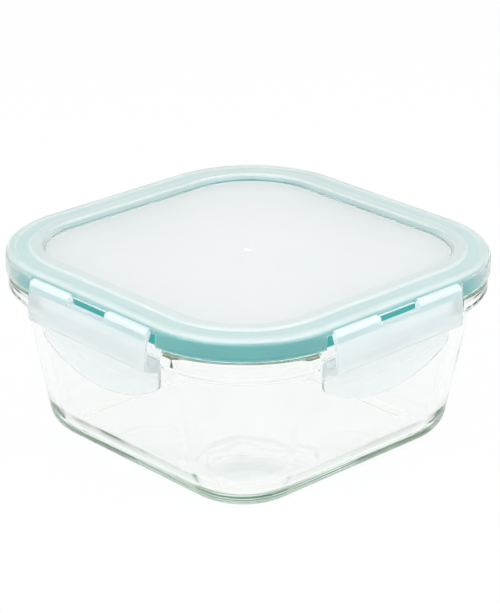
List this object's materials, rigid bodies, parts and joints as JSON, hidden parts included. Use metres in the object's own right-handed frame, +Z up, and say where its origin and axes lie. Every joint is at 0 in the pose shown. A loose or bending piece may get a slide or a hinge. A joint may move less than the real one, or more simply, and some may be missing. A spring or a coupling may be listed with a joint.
{
  "type": "glass food storage container",
  "caption": "Square glass food container with a translucent snap lid, hinged locking flaps on every side and a silicone seal.",
  "frame": {"origin": "middle of the foot ring, on the surface that the container stands on", "axes": "+Z up through the middle of the lid, +X towards the right-hand flap, -Y towards the front flap"},
  "size_m": [0.156, 0.156, 0.0733],
  "materials": {
    "glass": "clear pressed glass, faintly green at its thick edges",
    "lid_plastic": "milky translucent, satin panel",
    "seal_silicone": "smooth teal silicone",
    "flap_plastic": "milky translucent satin",
    "hinge_film": "thin clear living hinge"
  },
  "bodies": {
    "bowl": {"glass_bowl": "glass"},
    "lid_body": {"lid": "lid_plastic", "seal_ring": "seal_silicone", "hinge_front_left": "hinge_film", "hinge_front_right": "hinge_film", "hinge_right_front": "hinge_film", "hinge_right_back": "hinge_film", "hinge_back_right": "hinge_film", "hinge_back_left": "hinge_film", "hinge_left_back": "hinge_film", "hinge_left_front": "hinge_film"},
    "front_flap": {"flap_front": "flap_plastic"},
    "right_flap": {"flap_right": "flap_plastic"},
    "back_flap": {"flap_back": "flap_plastic"},
    "left_flap": {"flap_left": "flap_plastic"}
  },
  "joints": [
    {"name": "lid_lift", "type": "slide", "parent": "bowl", "child": "lid_body", "axis": [0, 0, 1], "range_m": [0, 0.08]},
    {"name": "front_flap_hinge", "type": "hinge", "parent": "lid_body", "child": "front_flap", "pos_m": [0, -0.0756, 0.0694], "axis": [-1, 0, 0], "range_deg": [0, 135]},
    {"name": "right_flap_hinge", "type": "hinge", "parent": "lid_body", "child": "right_flap", "pos_m": [0.0756, 0, 0.0694], "axis": [0, -1, 0], "range_deg": [0, 135]},
    {"name": "back_flap_hinge", "type": "hinge", "parent": "lid_body", "child": "back_flap", "pos_m": [0, 0.0756, 0.0694], "axis": [1, 0, 0], "range_deg": [0, 135]},
    {"name": "left_flap_hinge", "type": "hinge", "parent": "lid_body", "child": "left_flap", "pos_m": [-0.0756, 0, 0.0694], "axis": [0, 1, 0], "range_deg": [0, 135]}
  ]
}
